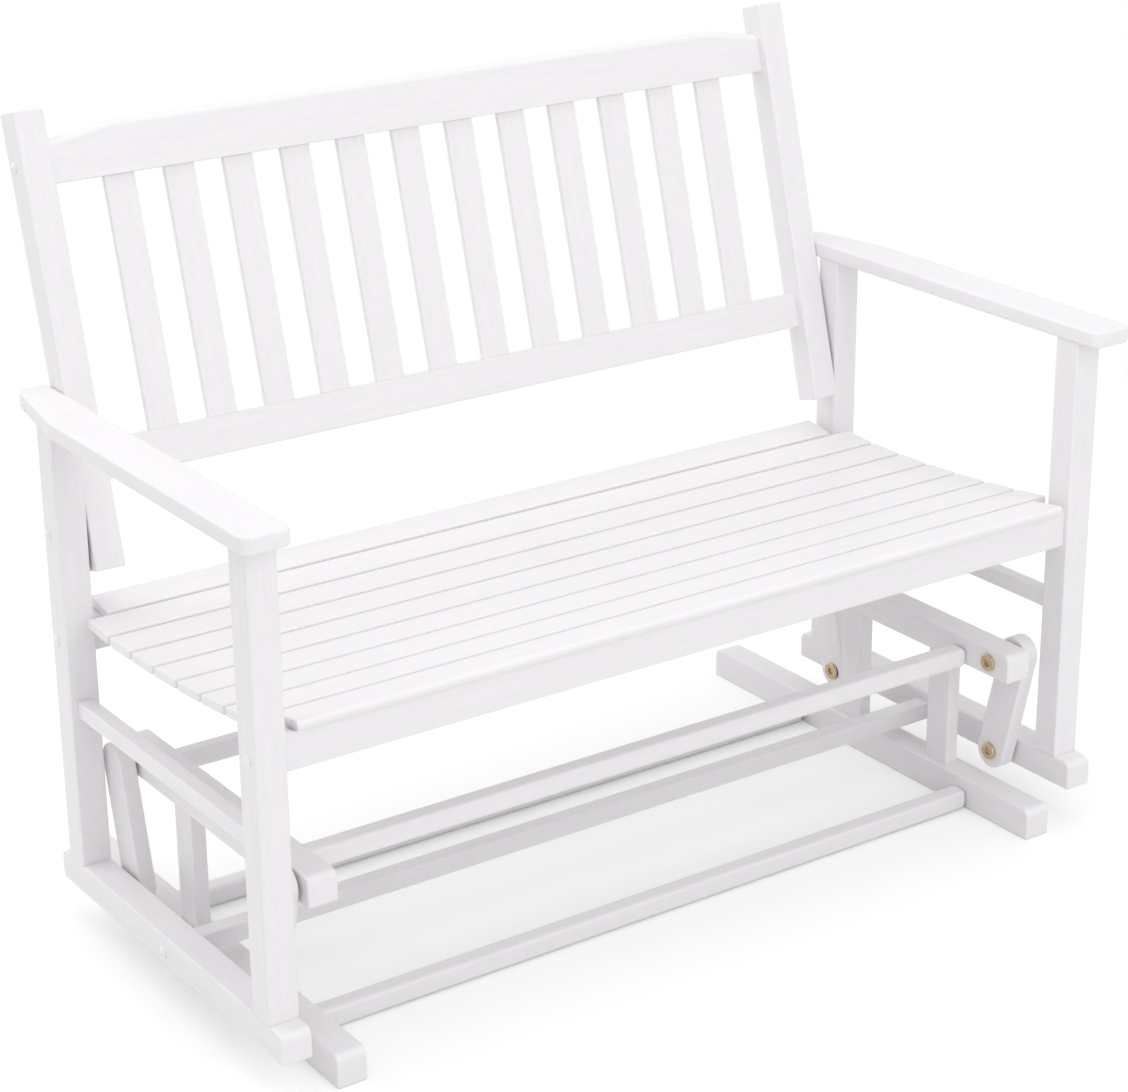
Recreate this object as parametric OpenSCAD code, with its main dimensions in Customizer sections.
// Glider bench: a slatted two-seat bench that hangs on four swinging links from a fixed base.
// X runs along the bench, the front faces -Y, Z is up, all in millimetres. The origin is on the
// floor under the middle of the bench. The modules draw with Y = 0 on the front posts' front
// faces and draw the right-hand piece of a pair. The last lines centre and mirror them.

/* [Side frames] */
// Clear width between the two side frames
inner_w = 1034; // [860:2:1300]
// Depth over the posts, from front face to rear face
side_depth = 457; // [430:1:500]
// Side of the square posts, skids, stiles and upper rails
post = 35; // [31:1:40]
// Length of the posts between skid and arm
post_l = 515; // [480:1:560]
// Height of the skids' undersides above the floor
skid_z = 48; // [44:1:60]
// How far the skids run out in front of the front posts
skid_front = 24; // [14:1:40]
// How far the skids run out behind the rear posts
skid_rear = 20; // [14:1:40]
// Radius of the rounded corners at the ends of skids and rails
end_round = 10; // [4:1:14]
// Thickness of the side stretchers between the posts
stretcher_t = 19; // [14:1:24]
// Height of the side stretchers' section
stretcher_h = 20; // [16:1:30]
// Height of the side stretchers' undersides above the skids
stretcher_up = 178.5; // [120:0.5:220]

/* [Arms] */
// Thickness of the arms
arm_t = 20; // [16:1:26]
// Width of the arms
arm_w = 55.8; // [47:0.1:68]
// Width of the arms at their rear ends
arm_rear_w = 37.5; // [30:0.5:43]
// Length of the tapered stretch at the rear
arm_taper = 119; // [90:1:150]
// How far the arms run out in front of the front posts
arm_front = 31; // [25:1:50]
// How far the arms run out behind the rear posts
arm_rear = 46; // [38:1:60]
// Radius of the arms' rounded corners
arm_round = 12; // [6:1:13]

/* [Seat] */
// Height of the seat's lowest line above the floor
seat_h = 376.5; // [360:0.5:400]
// Distance of that lowest line in front of the rear posts' rear faces
dish_at = 104; // [90:1:120]
// Radius of the seat's curve in front of its lowest line
dish_front_r = 2200; // [1800:10:2800]
// Radius of the seat's curve behind its lowest line
dish_rear_r = 555; // [480:5:700]
// Number of narrow seat slats
seat_slats = 7; // [5:1:9]
// Gap between neighbouring seat boards
seat_gap = 6; // [4:0.5:8]
// Thickness of the seat boards
seat_t = 11; // [10:0.5:14]
// How far the narrow slats' ends run out past the side frames' inner faces
slat_over = 14; // [0:1:20]
// Gap between the ends of the front and rear boards and the side frames
board_short = 12; // [4:1:20]
// How far the front board's nose stands out in front of the apron
nose_over = 9; // [6:1:14]
// How far the front board reaches behind the front posts
front_board_past = 10; // [8:1:20]
// How far the rear board reaches in front of the rear posts
rear_board_past = 7; // [4:1:12]
// Thickness of the aprons and of the back's two rails
board_t = 19; // [16:1:22]
// Set-back of the front apron from the front posts' front faces
front_apron_in = 6; // [2:0.5:10]
// Set-back of the rear apron from the rear posts' rear faces
rear_apron_in = 4; // [1:0.5:8]
// Height of the front apron at its front face
front_apron_h = 42; // [36:1:60]
// Height of the rear apron at its front face
rear_apron_h = 41.5; // [36:0.5:60]
// Thickness of the three bearers under the slats
bearer_t = 18; // [16:1:25]
// Height of the bearers' section
bearer_h = 30; // [26:1:40]
// Distance of the outer bearers from the side frames' inner faces
bearer_in = 47; // [20:1:120]
// Width and height of the square bar between the skids
skid_bar = 22; // [18:1:26]
// Height of that bar's underside above the skids' undersides
skid_bar_up = 4; // [2:0.5:9]
// Distance of that bar's centre in front of the middle between the lower pivots
skid_bar_ahead = 3.2; // [0:0.1:6]

/* [Back] */
// Lean of the back from upright, in degrees
lean = 15; // [10:0.5:18]
// Length of the stiles
stile_l = 495; // [470:1:540]
// Gap between the stiles and the rear posts, kept by a spacer
stile_gap = 2.8; // [1.2:0.1:5]
// How far the stiles' feet stand in front of the rear posts
stile_ahead = 10; // [6:0.5:14]
// Height of the stiles' feet above the seat's lowest line
stile_up = 52.5; // [46:0.5:60]
// Distance of the bottom rail from the stiles' feet
low_rail_at = 94; // [80:1:120]
// Height of the bottom rail
low_rail_h = 42; // [34:1:60]
// Distance of the top rail's lower edge from the stiles' feet
top_rail_at = 414; // [390:1:424]
// Height of the top rail at its ends
top_rail_h = 46; // [40:0.1:55]
// Extra height of the top rail in its middle
top_rail_rise = 13; // [8:0.1:20]
// Length of the sloping stretch at each end of the top rail
top_rail_slope = 75; // [50:0.5:110]
// Set-back of both back rails from the stiles' front faces
rail_in = 11.5; // [6:0.5:14]
// Number of back slats
back_slats = 12; // [9:1:13]
// Width of the back slats
back_slat_w = 36; // [28:0.5:42]
// Thickness of the back slats
back_slat_t = 8; // [6:0.5:10]
// Gap between the outermost back slats and the stiles
back_end_gap = 63; // [40:0.5:80]
// Length of the tenons on the ends of the back slats
slat_tenon = 12; // [8:1:16]

/* [Base] */
// Height of the floor rails
floor_rail_h = 38; // [34:1:42]
// How far the floor rails run out in front of the front posts
rail_ahead = 23.5; // [10:0.5:30]
// How far the floor rails run out behind the rear posts
rail_behind = 122.5; // [100:0.5:180]
// How far the upper rails run out in front of the front upper pivots
upper_rail_front = 32.7; // [26:0.1:36]
// How far the upper rails run out behind the rear upper pivots
upper_rail_rear = 28.8; // [24:0.1:50]
// Length of the uprights between floor rail and upper rail
upright_l = 147.5; // [144:0.5:165]
// Thickness of the uprights, along X
upright_t = 18; // [15:1:24]
// Width of the uprights, along Y
upright_w = 38; // [30:1:42]
// Distance of the front uprights' front faces behind the front upper pivots
front_upright_in = 75.3; // [68:0.1:78]
// Distance of the rear uprights' rear faces in front of the rear upper pivots
rear_upright_in = 84.2; // [76:0.1:88]
// Side of the lower cross bars and of the upper front one
cross_bar = 28; // [24:1:30]
// Radius of the rounding at the ends of all four cross bars
bar_round = 8; // [4:0.5:9.5]
// Distance of the upper front bar's centre behind the front upper pivots
high_bar_in = 47.8; // [44:0.1:51]
// Drop of the upper front bar's centre below the upper rails' centres
high_bar_drop = 8; // [2:0.5:8]
// Side of the upper rear cross bar
rear_bar = 22; // [20:1:26]
// Distance of the upper rear bar's centre in front of the rear upper pivots
rear_bar_in = 37.7; // [30:0.1:48]
// Distance of the lower front bar's centre from the floor rails' front ends
low_bar_at = 115; // [100:1:125]
// Distance of the lower rear bar's centre from the floor rails' rear ends
low_rear_bar_at = 178; // [160:1:190]
// Gap between the lower bars and the floor
bar_lift = 1.5; // [1:0.5:4]
// Radius of the round tenons on the base's cross bars
tenon_r = 6; // [4:0.5:7]
// Length of those tenons
tenon_l = 18; // [12:1:24]

/* [Links] */
// Width of the links, which is also the diameter of their round ends
link_w = 44; // [38:1:48]
// Thickness of the links
link_t = 20; // [16:1:24]
// Distance of the front lower pivots behind the front posts' front faces
front_pivot_in = 85.7; // [80:0.1:90]
// Distance of the rear lower pivots in front of the rear posts' rear faces
rear_pivot_in = 74.3; // [66:0.1:80]
// How far the links slope: the lower pivots lie this far inside the upper ones, front and rear
link_slope = 31.5; // [24:0.5:34]
// How far the links swing each way, in degrees
swing = 20; // [5:1:20]
// Play of a link on each side, along its pivot
play = 0.25; // [0.2:0.05:0.5]
// Depth of the blind hole in a link's upper end
blind_depth = 15.5; // [12:0.5:16]

/* [Fasteners] */
// Radius of every bolt's shank
bolt_r = 3; // [2.5:0.5:3.5]
// Running clearance of shanks, sleeves and tenons in their holes, on the radius
fit = 0.05; // [0.03:0.01:0.1]
// Radius of the white caps on the outer faces
cap_r = 6; // [5:0.5:8]
// Thickness of the rim under a cap
cap_rim = 1.2; // [1:0.1:2]
// Height of the cap's dome
cap_dome = 2.8; // [2:0.1:4]
// Depth to which the top of the dome is cut flat
cap_flat = 0.1; // [0.05:0.05:0.3]
// Length of a frame bolt's shank inside the second piece
bolt_bite = 40; // [30:1:50]
// Length of a bolt's shank inside a stile
stile_bite = 28; // [20:1:31]
// Height of the apron bolts above the aprons' lower edges
apron_bolt_up = 19.5; // [15:0.5:26]
// Distance of the lower stile bolt from the stile's foot
stile_bolt_up = 48.5; // [40:0.5:60]
// Distance of that bolt behind the stile's front face
stile_bolt_back = 22; // [18:0.5:25]
// Radius of the spacers between the stiles and the rear posts
spacer_r = 7; // [5:0.5:9]
// Radius of the brass pivot heads
head_r = 10.5; // [10.3:0.1:12]
// Thickness of the brass pivot heads
head_t = 3.5; // [2.5:0.1:5]
// Radius of the hexagon sockets in the pivot heads, over the corners
socket_r = 4.8; // [2.5:0.1:5.5]
// Depth of those sockets
socket_depth = 2.5; // [1.5:0.1:3]
// Outer radius of the sleeves that the links turn on, and of the inserts
sleeve_r = 5; // [4.5:0.1:5.2]
// Radius of the sleeves' flanges
flange_r = 10; // [8:0.5:11]
// Thickness of the sleeves' flanges
flange_t = 3.5; // [2.5:0.1:5]
// Length of the threaded inserts in the skids
insert_l = 22; // [18:1:26]
// Room left round the rear lower pivot's sleeve at both ends of the swing
open_room = 0.15; // [0.1:0.05:0.3]
// Radius of the seat screws' shanks
screw_r = 2; // [1.5:0.25:2.5]
// Radius of the seat screws' heads
screw_head_r = 4; // [3:0.25:5]
// Thickness of the seat screws' heads
screw_head_t = 2.5; // [1.5:0.25:3.5]
// Depth to which a seat screw enters its board
screw_bite = 7; // [5:0.5:8]
// Distance of the end boards' screws from those boards' inner edges
end_screw_at = 8; // [6:0.5:10]

/* [Hidden] */
$fn = 64;
eps = 1;

// Widths: inner face of the side frames, then the base's rails inside them
inner_x = inner_w / 2;
outer_x = inner_x + post;
side_gap = flange_t + play;
link_x = inner_x - side_gap - link_t;
rail_out_x = link_x - side_gap;
rail_x = rail_out_x - post;
rail_mid_x = rail_x + post / 2;

// Heights
post_z = skid_z + post;
arm_z = post_z + post_l;
upper_rail_z = floor_rail_h + upright_l;
upper_z = upper_rail_z + post / 2;
lower_z = skid_z + post / 2;

// Places of the pivots and of the base along Y, from the front posts' front faces
lower_y = [front_pivot_in, side_depth - rear_pivot_in];
upper_y = [lower_y[0] - link_slope, lower_y[1] + link_slope];
lower_span = lower_y[1] - lower_y[0];
upper_span = upper_y[1] - upper_y[0];
skid_bar_y = (lower_y[0] + lower_y[1]) / 2 - skid_bar_ahead;
upper_rail_y = upper_y[0] - upper_rail_front;
upper_rail_l = upper_y[1] + upper_rail_rear - upper_rail_y;
upright_y = [upper_y[0] + front_upright_in, upper_y[1] - rear_upright_in - upright_w];
floor_rail_y = -rail_ahead;
floor_rail_l = side_depth + rail_behind - floor_rail_y;

// Centres of the base's cross bars: [y, z]
upper_front_bar = [upper_y[0] + high_bar_in, upper_z - high_bar_drop];
upper_rear_bar = [upper_y[1] - rear_bar_in, upper_z];
lower_front_bar = [floor_rail_y + low_bar_at, bar_lift + cross_bar / 2];
lower_rear_bar = [floor_rail_y + floor_rail_l - low_rear_bar_at, bar_lift + cross_bar / 2];

// The seat boards lie on straight chords of a curve. Each point of the line is [y, z] on the
// boards' undersides, in the middle of a gap, with the nose in front and the rear edge last.
front_apron_y = front_apron_in;
rear_apron_y = side_depth - rear_apron_in - board_t;
nose_y = front_apron_y - nose_over;
front_board_w = post + front_board_past - nose_y;
rear_board_w = post + rear_board_past;
slat_pitch = (side_depth - nose_y - front_board_w - rear_board_w - seat_gap) / seat_slats;
first_gap_y = nose_y + front_board_w + seat_gap / 2;
dish_y = side_depth - dish_at;
function arc_rise(d, r) = r - sqrt(r * r - d * d);
function curve_z(y) = seat_h - seat_t + arc_rise(y - dish_y, y < dish_y ? dish_front_r : dish_rear_r);
board_ends = concat([nose_y], [for (i = [0:seat_slats]) first_gap_y + i * slat_pitch], [side_depth]);
seat_line = [for (y = board_ends) [y, curve_z(y)]];
last_board = seat_slats + 1;
function chord(i) = seat_line[i + 1] - seat_line[i];
function board_from(i) = i == 0 ? 0 : seat_gap / 2;
function board_to(i) = norm(chord(i)) - (i == last_board ? 0 : seat_gap / 2);
function screw_y(i) = i == 0 ? board_to(i) - end_screw_at
    : i == last_board ? board_from(i) + end_screw_at
    : norm(chord(i)) / 2;
bearer_xs = [-inner_x + bearer_in + bearer_t / 2, 0, inner_x - bearer_in - bearer_t / 2];
screw_seat = bearer_h - screw_head_t - eps;

// Lower edges of the aprons
front_apron_z = lookup(front_apron_y, seat_line) - front_apron_h;
rear_apron_z = lookup(rear_apron_y, seat_line) - rear_apron_h;

// The back is drawn upright on the stiles' feet and then leant back
foot_y = side_depth - post - stile_ahead;
foot_z = seat_h + stile_up;
stile_x = inner_x - stile_gap;
back_half = stile_x - post;
rail_mid_v = rail_in + board_t / 2;
slat_step = (2 * back_half - 2 * back_end_gap - back_slat_w) / (back_slats - 1);
slat_from = low_rail_at + low_rail_h - slat_tenon;
slat_to = top_rail_at + slat_tenon;
function back_point(v, u) = [foot_y + v * cos(lean) + u * sin(lean), foot_z - v * sin(lean) + u * cos(lean)];

// The arm's outer edge, and the stile's centre at the arm's mid height
arm_end_y = side_depth + arm_rear;
arm_mid_z = arm_z + arm_t / 2;
stile_mid_u = (arm_mid_z - foot_z + post / 2 * sin(lean)) / cos(lean);
arm_bolt_y = back_point(post / 2, stile_mid_u)[0];
arm_narrowing = (arm_w - arm_rear_w) / (arm_taper - arm_round);
arm_edge = arm_rear_w + (arm_end_y - arm_round - arm_bolt_y) * arm_narrowing;
arm_bolt_x = stile_x + arm_edge - cap_rim - cap_r * arm_narrowing;

// Capped bolts of the right side: [x of the cap's seat, y, z, length of the shank]
skid_bar_z = skid_z + skid_bar_up + skid_bar / 2;
low_stile_bolt = back_point(stile_bolt_back, stile_bolt_up);
top_rail_bolt = back_point(rail_mid_v, top_rail_at + top_rail_h / 2);
cap_bolts = [
    [outer_x, skid_bar_y, skid_bar_z, post + bolt_bite],
    [outer_x, front_apron_y + board_t / 2, front_apron_z + apron_bolt_up, post + bolt_bite],
    [outer_x, rear_apron_y + board_t / 2, rear_apron_z + apron_bolt_up, post + bolt_bite],
    [outer_x, low_stile_bolt[0], low_stile_bolt[1], outer_x - stile_x + stile_bite],
    [stile_x, top_rail_bolt[0], top_rail_bolt[1], post + bolt_bite],
    [arm_bolt_x, arm_bolt_y, arm_mid_z, arm_bolt_x - stile_x + stile_bite]
];

// The four links and the seat turn by fixed ratios of one angle. A real four-bar linkage turns by
// slightly more, so the rear lower pivot is left open. Its hole holds the sleeve's whole path.
seat_ratio = -upper_span / lower_span;
function turned(p, a) = [p[0] * cos(a) - p[1] * sin(a), p[0] * sin(a) + p[1] * cos(a)];
function sleeve_shift(a) = turned(turned([lower_span, 0], a * (1 + seat_ratio))
    + turned([2 * link_slope, 0], a) - [upper_span, 0], -a);
end_shift = sleeve_shift(swing);
open_shift = end_shift[0] == 0 ? 0 : (end_shift * end_shift) / (2 * end_shift[0]);
open_r = sleeve_r + abs(open_shift) + open_room;

// Everything is moved along Y so that the whole bench is centred on the origin
front_reach = min(-arm_front, -skid_front, floor_rail_y);
rear_reach = max(floor_rail_y + floor_rail_l, back_point(post, stile_l)[0], arm_end_y);
centre_y = -(front_reach + rear_reach) / 2;

SIDES = ["left", "right"];
PAIRS = ["skid", "front_post", "rear_post", "arm", "side_stretcher", "back_stile", "floor_rail",
    "upper_rail", "base_uprights", "front_link", "rear_link"];

// Placing helpers

module on_side(side) translate([0, centre_y, 0]) mirror([side == "left" ? 1 : 0, 0, 0]) children();
module centred() translate([0, centre_y, 0]) children();
module both_sides() for (side = SIDES) mirror([side == "left" ? 1 : 0, 0, 0]) children();
module along_x() rotate([0, 90, 0]) children();
// Extrudes an outline drawn in Y and Z from x to x + length
module extrude_x(x, length) translate([x, 0, 0]) rotate([90, 0, 90]) linear_extrude(length) children();
module on_board(i) translate([0, seat_line[i][0], seat_line[i][1]])
    rotate([atan2(chord(i)[1], chord(i)[0]), 0, 0]) children();
module in_back() translate([0, foot_y, foot_z]) rotate([-lean, 0, 0]) children();

// Rectangle of length l and height h with round upper corners
module round_top(l, h, r) {
    square([l, h - r]);
    translate([r, 0]) square([l - 2 * r, h]);
    for (y = [r, l - r]) translate([y, h - r]) circle(r);
}

// Rectangle of length l and height h centred on the origin, with round corners
module round_rect(l, h, r) {
    square([l, h - 2 * r], center = true);
    square([l - 2 * r, h], center = true);
    for (x = [r - l / 2, l / 2 - r], y = [r - h / 2, h / 2 - r]) translate([x, y]) circle(r);
}

// Fasteners

// Capped frame bolt, turned as one profile: the cap stands out along +X, the shank runs along -X
module cap_bolt(length) along_x() rotate_extrude() {
    dome_r = (cap_r * cap_r + cap_dome * cap_dome) / (2 * cap_dome);
    translate([0, -length]) square([bolt_r, length + cap_rim]);
    square([cap_r, cap_rim]);
    intersection() {
        translate([0, cap_rim + cap_dome - dome_r]) circle(dome_r);
        square([cap_r, cap_rim + cap_dome - cap_flat]);
    }
}

// The holes of all the capped bolts, to cut from a wooden piece
module cap_bolt_holes() both_sides() for (b = cap_bolts)
    translate([b[0] - b[3] - eps, b[1], b[2]]) along_x() cylinder(r = bolt_r + fit, h = b[3] + 2 * eps);

// Pivot bolt: the head's seat is at X = 0 and the shank runs along +X
module pivot_bolt(length) along_x() difference() {
    union() {
        translate([0, 0, -head_t]) cylinder(r = head_r, h = head_t);
        cylinder(r = bolt_r, h = length);
    }
    translate([0, 0, -head_t - eps]) cylinder(r = socket_r, h = socket_depth + eps, $fn = 6);
}

module hole_x(x, y, z, r, length) translate([x, y, z]) along_x() cylinder(r = r, h = length);

module seat_screw() {
    translate([0, 0, -screw_seat - screw_head_t]) cylinder(r = screw_head_r, h = screw_head_t);
    translate([0, 0, -screw_seat]) cylinder(r = screw_r, h = screw_seat + screw_bite);
}

module seat_screw_hole() {
    translate([0, 0, -2 * bearer_h]) cylinder(r = screw_head_r + fit, h = 2 * bearer_h - screw_seat);
    translate([0, 0, -screw_seat - eps]) cylinder(r = screw_r + fit, h = screw_seat + eps + screw_bite);
}

module at_screws(i) on_board(i) for (x = bearer_xs) translate([x, screw_y(i), 0]) children();

// Side frames

module skid() color("white") difference() {
    extrude_x(inner_x, post) translate([-skid_front, skid_z])
        round_top(side_depth + skid_front + skid_rear, post, end_round);
    cap_bolt_holes();
    for (y = lower_y) hole_x(inner_x - eps, y, lower_z, sleeve_r + fit, insert_l + fit + eps);
}

module upright_post(y) color("white") difference() {
    translate([inner_x, y, post_z]) cube([post, post, post_l]);
    cap_bolt_holes();
}

module side_stretcher() color("white")
    translate([inner_x + (post - stretcher_t) / 2, post, post_z + stretcher_up])
        cube([stretcher_t, side_depth - 2 * post, stretcher_h]);

// The arm's inner edge is in line with the stile's outer face
module arm_outline() hull() {
    for (corner = [[arm_round, arm_round - arm_front], [arm_w - arm_round, arm_round - arm_front],
        [arm_w - arm_round, arm_end_y - arm_taper], [arm_rear_w - arm_round, arm_end_y - arm_round]])
        translate(corner) circle(arm_round, $fn = 32);
    translate([0, arm_end_y - eps]) square(eps);
}

module arm() color("white") difference() {
    translate([stile_x, 0, arm_z]) linear_extrude(arm_t) arm_outline();
    cap_bolt_holes();
    hole_x(arm_bolt_x, arm_bolt_y, arm_mid_z, cap_r + 2 * fit, arm_w);
}

// Seat

module apron(y, z) color("white") difference() {
    extrude_x(-inner_x, inner_w) polygon([[y, z], [y + board_t, z],
        [y + board_t, lookup(y + board_t, seat_line)], [y, lookup(y, seat_line)]]);
    cap_bolt_holes();
}

module skid_stretcher() color("white") difference() {
    extrude_x(-inner_x, inner_w) translate([skid_bar_y, skid_bar_z]) square(skid_bar, center = true);
    cap_bolt_holes();
}

module seat_bearers() {
    from = front_apron_y + board_t;
    to = rear_apron_y;
    top = concat([[from, lookup(from, seat_line)]],
        [for (p = seat_line) if (p[0] > from && p[0] < to) p], [[to, lookup(to, seat_line)]]);
    under = [for (i = [len(top) - 1:-1:0]) top[i] - [0, bearer_h]];
    color("white") difference() {
        for (x = bearer_xs) extrude_x(x - bearer_t / 2, bearer_t) polygon(concat(top, under));
        for (i = [0:last_board]) at_screws(i) seat_screw_hole();
    }
}

// Seat board i, counted from the nose, with half length half_l
module seat_board(i, half_l) color("white") difference() {
    on_board(i) {
        nose_r = i == 0 ? seat_t / 2 : 0;
        translate([-half_l, board_from(i) + nose_r, 0])
            cube([2 * half_l, board_to(i) - board_from(i) - nose_r, seat_t]);
        if (i == 0) hole_x(-half_l, nose_r, nose_r, nose_r, 2 * half_l);
    }
    at_screws(i) seat_screw_hole();
}

// Back

module back_stile() color("white") difference() {
    in_back() translate([back_half, 0, 0]) cube([post, post, stile_l]);
    cap_bolt_holes();
}

// A ring on the lower bolt of each stile, in the gap beside the rear post
module stile_spacers() color("silver") both_sides() difference() {
    hole_x(stile_x, low_stile_bolt[0], low_stile_bolt[1], spacer_r, stile_gap);
    hole_x(stile_x - eps, low_stile_bolt[0], low_stile_bolt[1], bolt_r + fit, stile_gap + 2 * eps);
}

// Back slat i, made larger by grow all round to cut its mortises
module back_slat_shape(i, grow = 0) translate([-back_half + back_end_gap + (i - 1) * slat_step - grow,
    rail_mid_v - back_slat_t / 2 - grow, slat_from - grow])
    cube([back_slat_w + 2 * grow, back_slat_t + 2 * grow, slat_to - slat_from + 2 * grow]);

module back_slat(i) color("white") in_back() back_slat_shape(i);

module back_bottom_rail() color("white") in_back() difference() {
    translate([-back_half, rail_in, low_rail_at]) cube([2 * back_half, board_t, low_rail_h]);
    for (i = [1:back_slats]) back_slat_shape(i, fit);
}

// The top rail's upper edge is fully rounded along its level middle and its two sloping ends
module back_top_rail() {
    r = board_t / 2;
    slope = atan2(top_rail_rise, top_rail_slope);
    kink_x = back_half - top_rail_slope - r * tan(slope / 2);
    mid_u = top_rail_at + top_rail_h + top_rail_rise - r;
    end_u = top_rail_at + top_rail_h - r / cos(slope);
    color("white") difference() {
        in_back() difference() {
            intersection() {
                union() {
                    translate([0, rail_in + board_t, 0]) rotate([90, 0, 0]) linear_extrude(board_t)
                        polygon([[-back_half, top_rail_at], [back_half, top_rail_at], [back_half, end_u],
                            [kink_x, mid_u], [-kink_x, mid_u], [-back_half, end_u]]);
                    hole_x(-kink_x, rail_mid_v, mid_u, r, 2 * kink_x);
                    both_sides() translate([kink_x, rail_mid_v, mid_u]) {
                        sphere(r);
                        rotate([0, 90 + slope, 0]) cylinder(r = r, h = 2 * top_rail_slope);
                    }
                }
                translate([-back_half, 0, 0]) cube([2 * back_half, post, 2 * stile_l]);
            }
            for (i = [1:back_slats]) back_slat_shape(i, fit);
        }
        cap_bolt_holes();
    }
}

// Base

module base_bar_holes() for (at = [upper_front_bar, upper_rear_bar, lower_front_bar, lower_rear_bar])
    hole_x(rail_x - eps, at[0], at[1], tenon_r + fit, tenon_l + fit + eps);

module floor_rail() color("white") difference() {
    extrude_x(rail_x, post) translate([floor_rail_y, 0]) round_top(floor_rail_l, floor_rail_h, end_round);
    base_bar_holes();
}

module upper_rail() color("white") difference() {
    extrude_x(rail_x, post) translate([upper_rail_y, upper_rail_z]) round_top(upper_rail_l, post, end_round);
    base_bar_holes();
    for (y = upper_y) hole_x(rail_x - eps, y, upper_z, bolt_r + fit, post + 2 * eps);
}

module base_uprights() color("white") for (y = upright_y)
    translate([rail_mid_x - upright_t / 2, y, floor_rail_h]) cube([upright_t, upright_w, upright_l]);

// Cross bar of the base with its centre at [y, z]. Its ends are rounded as seen from the front and
// from above, and a round tenon runs out of each end into the rail.
module base_bar(at, side) color("white") {
    translate([0, at[0], at[1]]) intersection_for (turn = [0, 90])
        rotate([turn, 0, 0]) linear_extrude(side, center = true) round_rect(2 * rail_x, side, bar_round);
    both_sides() hole_x(rail_x - bar_round, at[0], at[1], tenon_r, bar_round + tenon_l);
}

// Links

// Outline of a link of length l between its pivots, drawn upright
module link_outline(l) {
    translate([-link_w / 2, 0]) square([link_w, l]);
    for (z = [0, l]) translate([0, z]) circle(link_w / 2);
}

module link(upper, lower, hole_at, hole_r) {
    reach = [upper - lower, upper_z - lower_z];
    color("white") difference() {
        translate([0, lower, lower_z]) rotate([atan2(reach[1], reach[0]) - 90, 0, 0])
            extrude_x(link_x, link_t) link_outline(norm(reach));
        hole_x(link_x - eps, upper, upper_z, sleeve_r + fit, blind_depth + eps);
        hole_x(link_x - eps, lower + hole_at, lower_z, hole_r, link_t + 2 * eps);
    }
}

module front_link() link(upper_y[0], lower_y[0], 0, sleeve_r + fit);
module rear_link() link(upper_y[1], lower_y[1], open_shift, open_r);

// Groups of like fasteners

module frame_bolts() color("white") both_sides() for (b = cap_bolts)
    translate([b[0], b[1], b[2]]) cap_bolt(b[3]);

module seat_screws() color("silver") for (i = [0:last_board]) at_screws(i) seat_screw();

module upper_pivot_bolts() color("goldenrod") both_sides() for (y = upper_y)
    translate([rail_x, y, upper_z]) pivot_bolt(post + side_gap + blind_depth - 2 * eps);

// The flange lies on the upper rail and the closed barrel carries the link's upper end
module upper_pivot_sleeves() color("goldenrod") both_sides() for (y = upper_y) difference() {
    union() {
        hole_x(rail_out_x, y, upper_z, flange_r, flange_t);
        hole_x(rail_out_x, y, upper_z, sleeve_r, side_gap + blind_depth - play);
    }
    hole_x(rail_out_x - eps, y, upper_z, bolt_r + fit, side_gap + blind_depth - eps);
}

module lower_pivot_bolts() color("goldenrod") both_sides() for (y = lower_y)
    translate([link_x - play, y, lower_z]) pivot_bolt(link_t + play + side_gap + insert_l - eps);

// The flange lies on the skid and the barrel carries the link's lower end
module lower_pivot_sleeves() color("goldenrod") both_sides() for (y = lower_y) difference() {
    union() {
        hole_x(inner_x - flange_t, y, lower_z, flange_r, flange_t);
        hole_x(link_x - play, y, lower_z, sleeve_r, link_t + play + side_gap);
    }
    hole_x(link_x - play - eps, y, lower_z, bolt_r + fit, link_t + side_gap + play + 2 * eps);
}

module skid_inserts() color("goldenrod") both_sides() for (y = lower_y) difference() {
    hole_x(inner_x, y, lower_z, sleeve_r, insert_l);
    hole_x(inner_x - eps, y, lower_z, bolt_r + fit, insert_l + 2 * eps);
}

for (side = SIDES) {
    on_side(side) skid();
    on_side(side) upright_post(0);
    on_side(side) upright_post(side_depth - post);
    on_side(side) arm();
    on_side(side) side_stretcher();
    on_side(side) back_stile();
    on_side(side) floor_rail();
    on_side(side) upper_rail();
    on_side(side) base_uprights();
    on_side(side) front_link();
    on_side(side) rear_link();
}
centred() apron(front_apron_y, front_apron_z);  // front_apron
centred() apron(rear_apron_y, rear_apron_z);  // rear_apron
centred() skid_stretcher();
centred() seat_bearers();
centred() seat_board(0, inner_x - board_short);  // seat_front_board
for (i = [1:seat_slats])
    centred() seat_board(i, inner_x + slat_over);
centred() seat_board(last_board, inner_x - board_short);  // seat_rear_board
centred() stile_spacers();
centred() back_bottom_rail();
centred() back_top_rail();
for (i = [1:back_slats])
    centred() back_slat(i);
centred() base_bar(upper_front_bar, cross_bar);  // base_bar_upper_front
centred() base_bar(upper_rear_bar, rear_bar);  // base_bar_upper_rear
centred() base_bar(lower_front_bar, cross_bar);  // base_bar_lower_front
centred() base_bar(lower_rear_bar, cross_bar);  // base_bar_lower_rear
centred() frame_bolts();
centred() seat_screws();
centred() lower_pivot_bolts();
centred() lower_pivot_sleeves();
centred() skid_inserts();
centred() upper_pivot_bolts();
centred() upper_pivot_sleeves();
